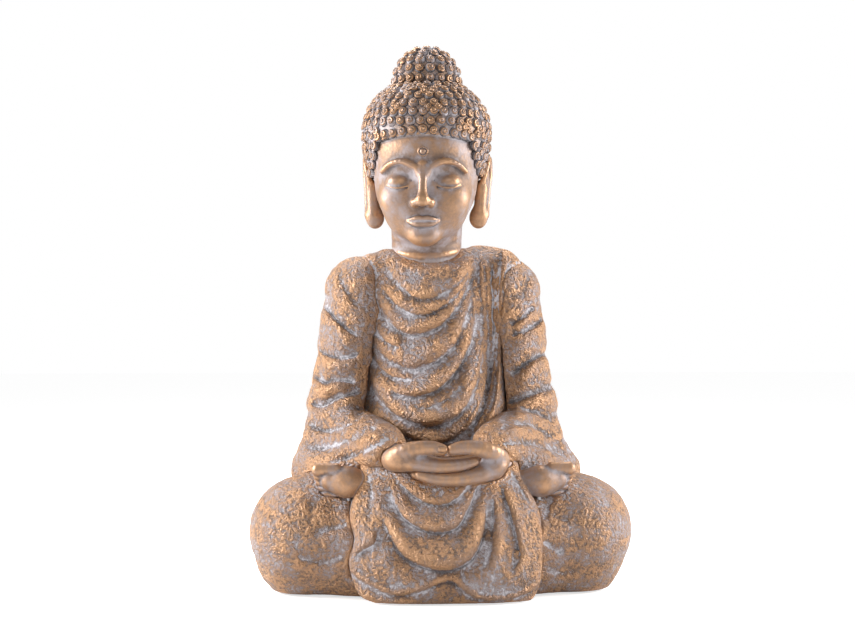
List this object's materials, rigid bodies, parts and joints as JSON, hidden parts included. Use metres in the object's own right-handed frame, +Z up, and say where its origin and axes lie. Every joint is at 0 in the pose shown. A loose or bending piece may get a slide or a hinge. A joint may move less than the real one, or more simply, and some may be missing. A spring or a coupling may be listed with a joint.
{
  "type": "seated buddha statue",
  "caption": "Seated meditating buddha statue, hollow cast sections bonded together, hands in the lap, a folded robe and a cloth drape over crossed legs.",
  "frame": {"origin": "middle of the rectangle that the statue covers, on the surface it stands on", "axes": "+Z up, the statue faces -Y, its left hand is on +X"},
  "size_m": [0.4256, 0.2977, 0.619],
  "materials": {
    "robe": "satin",
    "skin": "satin",
    "curls": "satin",
    "base": "matte",
    "steel": "satin",
    "pads": "matte"
  },
  "bodies": {
    "root": {"lap_casting": "robe", "torso_casting": "robe", "right_sleeve": "robe", "left_sleeve": "robe", "front_drape": "robe", "right_hand": "skin", "left_hand": "skin", "right_foot": "skin", "left_foot": "skin", "head_casting": "skin", "right_ear": "skin", "left_ear": "skin", "crown_mound": "curls", "scalp_curls": "curls", "crown_curls": "curls", "urna_boss": "skin", "base_plate": "base", "base_screws": "steel", "foot_pads": "pads", "neck_rod": "steel", "neck_nuts": "steel", "neck_washers": "steel", "neck_anchor_bar": "steel", "hand_dowels": "steel", "foot_dowels": "steel", "ear_dowels": "steel"}
  },
  "joints": []
}
